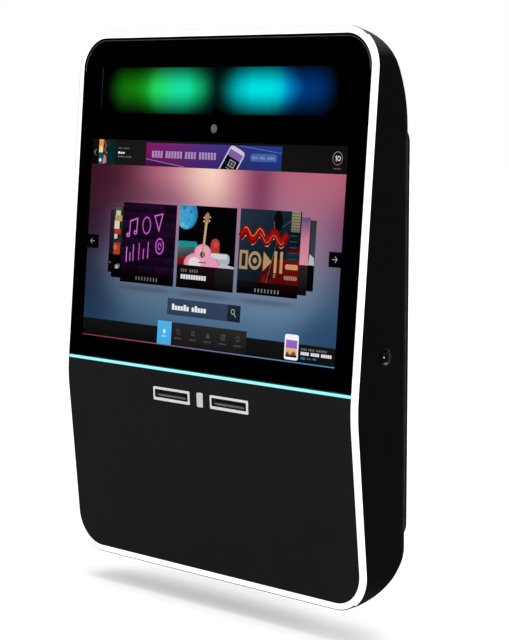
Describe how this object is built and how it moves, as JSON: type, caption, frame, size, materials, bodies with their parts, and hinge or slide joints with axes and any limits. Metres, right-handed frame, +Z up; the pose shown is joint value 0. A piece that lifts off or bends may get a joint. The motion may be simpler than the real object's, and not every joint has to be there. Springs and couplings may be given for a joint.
{
  "type": "wall-hung digital jukebox",
  "caption": "Slim wall-hung jukebox with a lit white frame round a touch screen and light bar, note and card slots below, and a front housing that swings open for service.",
  "frame": {"origin": "centre of the wall tray's wall face, so the wall is the plane Y = 0", "axes": "+X to the right seen from the front, +Y into the wall, +Z up; the screen faces -Y"},
  "size_m": [0.6946, 0.1427, 0.8984],
  "materials": {
    "shell_black": "satin, fine grain",
    "band_white": "translucent white diffuser",
    "carrier_grey": "matt",
    "led_strip": "matt",
    "screw_steel": "zinc plated",
    "front_glass": "polished",
    "mask_black": "black print",
    "screen": "lit screen",
    "sheet_steel": "plain sheet",
    "board_green": "solder mask",
    "board_blue": "solder mask",
    "diffuser": "opal",
    "box_black": "moulded",
    "lens": "polished",
    "cyan_light": "lit light guide",
    "panel_black": "satin, fine grain",
    "bezel_silver": "silver, satin",
    "status_grey": "translucent",
    "module_black": "moulded",
    "roller_rubber": "matt",
    "lock_metal": "dark nickel",
    "cassette": "moulded",
    "tray_black": "powder coat",
    "hinge_steel": "zinc plated",
    "fin_aluminium": "plain",
    "fin_black": "black anodised",
    "rocker_red": "gloss",
    "button_green": "gloss",
    "button_red": "gloss",
    "grommet_rubber": "matt"
  },
  "bodies": {
    "wall_side": {"wall_tray": "tray_black", "hinge_arms": "hinge_steel", "hinge_pins": "screw_steel", "chassis_plate": "sheet_steel", "chassis_screws": "screw_steel", "computer_case": "sheet_steel", "computer_lid": "sheet_steel", "computer_board": "board_green", "cpu_heatsink": "fin_aluminium", "computer_fan_frame": "module_black", "storage_drive": "sheet_steel", "power_supply": "sheet_steel", "power_bracket": "sheet_steel", "power_inlet": "module_black", "amplifier_board": "board_blue", "amplifier_heatsink": "fin_black", "speaker_terminals": "module_black", "service_panel": "sheet_steel", "lock_keeper": "hinge_steel", "cable_grommet": "grommet_rubber", "network_module": "module_black"},
    "front_housing": {"housing_shell": "shell_black", "light_frame": "band_white", "light_frame_carrier": "carrier_grey", "light_frame_leds": "led_strip", "front_screws": "screw_steel", "front_glass": "front_glass", "glass_mask": "mask_black", "display_panel": "screen", "display_chassis": "sheet_steel", "display_rails": "sheet_steel", "display_driver_board": "board_green", "light_bar_diffuser": "diffuser", "light_bar_housing": "box_black", "light_bar_board": "led_strip", "camera_lens": "lens", "camera_module": "module_black", "waist_crossbar": "carrier_grey", "waist_light": "cyan_light", "waist_light_board": "led_strip", "lower_panel": "panel_black", "note_bezel": "bezel_silver", "card_bezel": "bezel_silver", "status_lens": "status_grey", "note_validator": "module_black", "cassette_rails": "sheet_steel", "card_reader": "module_black", "lock_body": "lock_metal", "lock_nut": "screw_steel", "hinge_leaves": "hinge_steel"},
    "lock_key_parts": {"lock_plug": "lock_metal", "lock_cam": "screw_steel", "cam_screw": "screw_steel"},
    "fan_rotor": {"computer_fan_rotor": "module_black"},
    "note_drive": {"note_drive_roller": "roller_rubber"},
    "note_pinch": {"note_pinch_roller": "roller_rubber"},
    "cassette": {"note_cassette": "cassette"},
    "mains_rocker": {"power_rocker": "rocker_red"},
    "volume_up": {"volume_up_button": "button_green"},
    "volume_down": {"volume_down_button": "button_red"}
  },
  "joints": [
    {"name": "front_swing", "type": "hinge", "parent": "wall_side", "child": "front_housing", "pos_m": [-0.327, -0.038, -0.035], "axis": [0, 0, -1], "range_deg": [0, 90]},
    {"name": "key_turn", "type": "hinge", "parent": "front_housing", "child": "lock_key_parts", "pos_m": [0.33, -0.0778, -0.0254], "axis": [1, 0, 0], "range_deg": [0, 90]},
    {"name": "note_drive_spin", "type": "hinge", "parent": "front_housing", "child": "note_drive", "pos_m": [-0.0688, -0.11795, -0.11321], "axis": [1, 0, 0], "continuous": true},
    {"name": "note_pinch_spin", "type": "hinge", "parent": "front_housing", "child": "note_pinch", "pos_m": [-0.0688, -0.11732, -0.12579], "axis": [1, 0, 0], "continuous": true},
    {"name": "cassette_slide", "type": "slide", "parent": "front_housing", "child": "cassette", "axis": [0, 0.9987, 0.0502], "range_m": [0, 0.018]},
    {"name": "computer_fan_spin", "type": "hinge", "parent": "wall_side", "child": "fan_rotor", "pos_m": [-0.19, -0.05, 0.14], "axis": [0, 1, 0], "continuous": true},
    {"name": "mains_rocker_tilt", "type": "hinge", "parent": "wall_side", "child": "mains_rocker", "pos_m": [-0.182, -0.042, -0.068], "axis": [0, 1, 0], "range_deg": [0, 20]},
    {"name": "volume_up_press", "type": "slide", "parent": "wall_side", "child": "volume_up", "axis": [0, 1, 0], "range_m": [0, 0.003], "stiffness_N_per_m": 300},
    {"name": "volume_down_press", "type": "slide", "parent": "wall_side", "child": "volume_down", "axis": [0, 1, 0], "range_m": [0, 0.003], "stiffness_N_per_m": 300}
  ],
  "couplings": [
    {"joint": "note_pinch_spin", "follows": "note_drive_spin", "ratio": -1}
  ]
}
